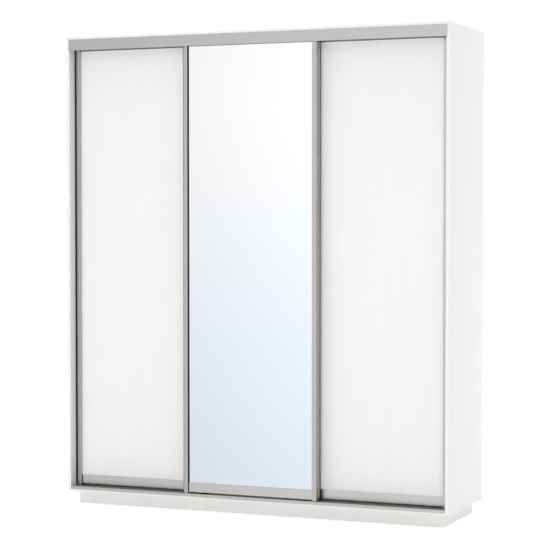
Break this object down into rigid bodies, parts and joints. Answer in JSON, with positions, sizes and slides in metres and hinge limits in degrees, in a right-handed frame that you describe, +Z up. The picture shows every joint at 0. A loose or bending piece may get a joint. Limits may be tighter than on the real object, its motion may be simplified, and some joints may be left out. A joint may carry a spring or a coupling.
{
  "type": "sliding door wardrobe",
  "caption": "Free-standing white wardrobe with three sliding doors, the middle one a mirror, in aluminium handle profiles on a two-line track, with shelves and hanging space behind them.",
  "frame": {"origin": "on the floor under the middle of the wardrobe's box", "axes": "+Z up, -Y towards the doors, +X to the right of someone facing the doors"},
  "size_m": [2.05, 0.57, 2.4],
  "materials": {
    "white_board": "white melamine over chipboard, faint vertical grain, satin",
    "door_board": "white melamine door board, faint vertical grain, satin",
    "plinth_board": "white melamine, satin",
    "hardboard": "thin hardboard, lacquered white on the inside",
    "track_aluminium": "satin anodised extrusion, silver",
    "door_aluminium": "satin anodised extrusion, silver",
    "mirror": "4 mm silvered glass",
    "gasket": "soft grey silicone gasket",
    "roller_steel": "zinc-plated pressed steel",
    "nylon": "dark glass-filled nylon",
    "chrome": "bright chrome on steel tube"
  },
  "bodies": {
    "carcass": {"side_panel_left": "white_board", "side_panel_right": "white_board", "top_panel": "white_board", "bottom_panel": "white_board", "partition_left": "white_board", "partition_right": "white_board", "hat_shelf_left": "white_board", "hat_shelf_center": "white_board", "hat_shelf_right": "white_board", "shelf_left_1": "white_board", "shelf_left_2": "white_board", "shelf_left_3": "white_board", "shelf_left_4": "white_board", "plinth_front": "plinth_board", "plinth_rear": "plinth_board", "plinth_left": "plinth_board", "plinth_right": "plinth_board", "plinth_brace": "plinth_board", "back_panel_left": "hardboard", "back_panel_center": "hardboard", "back_panel_right": "hardboard", "fascia": "track_aluminium", "top_track": "track_aluminium", "bottom_track": "track_aluminium", "clothes_rail_center": "chrome", "clothes_rail_right": "chrome"},
    "left_door": {"left_door_handle_left": "door_aluminium", "left_door_handle_right": "door_aluminium", "left_door_bottom_rail": "door_aluminium", "left_door_top_rail": "door_aluminium", "left_door_panel": "door_board", "left_door_roller_housing_left": "roller_steel", "left_door_top_guide_left": "nylon", "left_door_roller_housing_right": "roller_steel", "left_door_top_guide_right": "nylon"},
    "left_door_wheel_left": {"left_door_wheel_left": "nylon"},
    "left_door_wheel_right": {"left_door_wheel_right": "nylon"},
    "mirror_door": {"mirror_door_handle_left": "door_aluminium", "mirror_door_handle_right": "door_aluminium", "mirror_door_bottom_rail": "door_aluminium", "mirror_door_top_rail": "door_aluminium", "mirror_door_mirror": "mirror", "mirror_door_gasket": "gasket", "mirror_door_roller_housing_left": "roller_steel", "mirror_door_top_guide_left": "nylon", "mirror_door_roller_housing_right": "roller_steel", "mirror_door_top_guide_right": "nylon"},
    "mirror_door_wheel_left": {"mirror_door_wheel_left": "nylon"},
    "mirror_door_wheel_right": {"mirror_door_wheel_right": "nylon"},
    "right_door": {"right_door_handle_left": "door_aluminium", "right_door_handle_right": "door_aluminium", "right_door_bottom_rail": "door_aluminium", "right_door_top_rail": "door_aluminium", "right_door_panel": "door_board", "right_door_roller_housing_left": "roller_steel", "right_door_top_guide_left": "nylon", "right_door_roller_housing_right": "roller_steel", "right_door_top_guide_right": "nylon"},
    "right_door_wheel_left": {"right_door_wheel_left": "nylon"},
    "right_door_wheel_right": {"right_door_wheel_right": "nylon"}
  },
  "joints": [
    {"name": "left_door_slide", "type": "slide", "parent": "carcass", "child": "left_door", "axis": [1, 0, 0], "range_m": [0, 0.28]},
    {"name": "mirror_door_slide", "type": "slide", "parent": "carcass", "child": "mirror_door", "axis": [1, 0, 0], "range_m": [-0.635, 0.653]},
    {"name": "right_door_slide", "type": "slide", "parent": "carcass", "child": "right_door", "axis": [-1, 0, 0], "range_m": [0, 0.28]},
    {"name": "left_door_wheel_left_spin", "type": "hinge", "parent": "left_door", "child": "left_door_wheel_left", "pos_m": [-0.916, -0.20675, 0.1023], "axis": [0, 1, 0], "range_deg": [0, 1146]},
    {"name": "left_door_wheel_right_spin", "type": "hinge", "parent": "left_door", "child": "left_door_wheel_right", "pos_m": [-0.372, -0.20675, 0.1023], "axis": [0, 1, 0], "range_deg": [0, 1146]},
    {"name": "mirror_door_wheel_left_spin", "type": "hinge", "parent": "mirror_door", "child": "mirror_door_wheel_left", "pos_m": [-0.281, -0.25675, 0.1023], "axis": [0, 1, 0], "range_deg": [-2599, 2673]},
    {"name": "mirror_door_wheel_right_spin", "type": "hinge", "parent": "mirror_door", "child": "mirror_door_wheel_right", "pos_m": [0.263, -0.25675, 0.1023], "axis": [0, 1, 0], "range_deg": [-2599, 2673]},
    {"name": "right_door_wheel_left_spin", "type": "hinge", "parent": "right_door", "child": "right_door_wheel_left", "pos_m": [0.372, -0.20675, 0.1023], "axis": [0, 1, 0], "range_deg": [-1146, 0]},
    {"name": "right_door_wheel_right_spin", "type": "hinge", "parent": "right_door", "child": "right_door_wheel_right", "pos_m": [0.916, -0.20675, 0.1023], "axis": [0, 1, 0], "range_deg": [-1146, 0]}
  ],
  "couplings": [
    {"joint": "left_door_wheel_left_spin", "follows": "left_door_slide", "rad_per_m": 71.429},
    {"joint": "left_door_wheel_right_spin", "follows": "left_door_slide", "rad_per_m": 71.429},
    {"joint": "mirror_door_wheel_left_spin", "follows": "mirror_door_slide", "rad_per_m": 71.429},
    {"joint": "mirror_door_wheel_right_spin", "follows": "mirror_door_slide", "rad_per_m": 71.429},
    {"joint": "right_door_wheel_left_spin", "follows": "right_door_slide", "rad_per_m": -71.429},
    {"joint": "right_door_wheel_right_spin", "follows": "right_door_slide", "rad_per_m": -71.429}
  ]
}
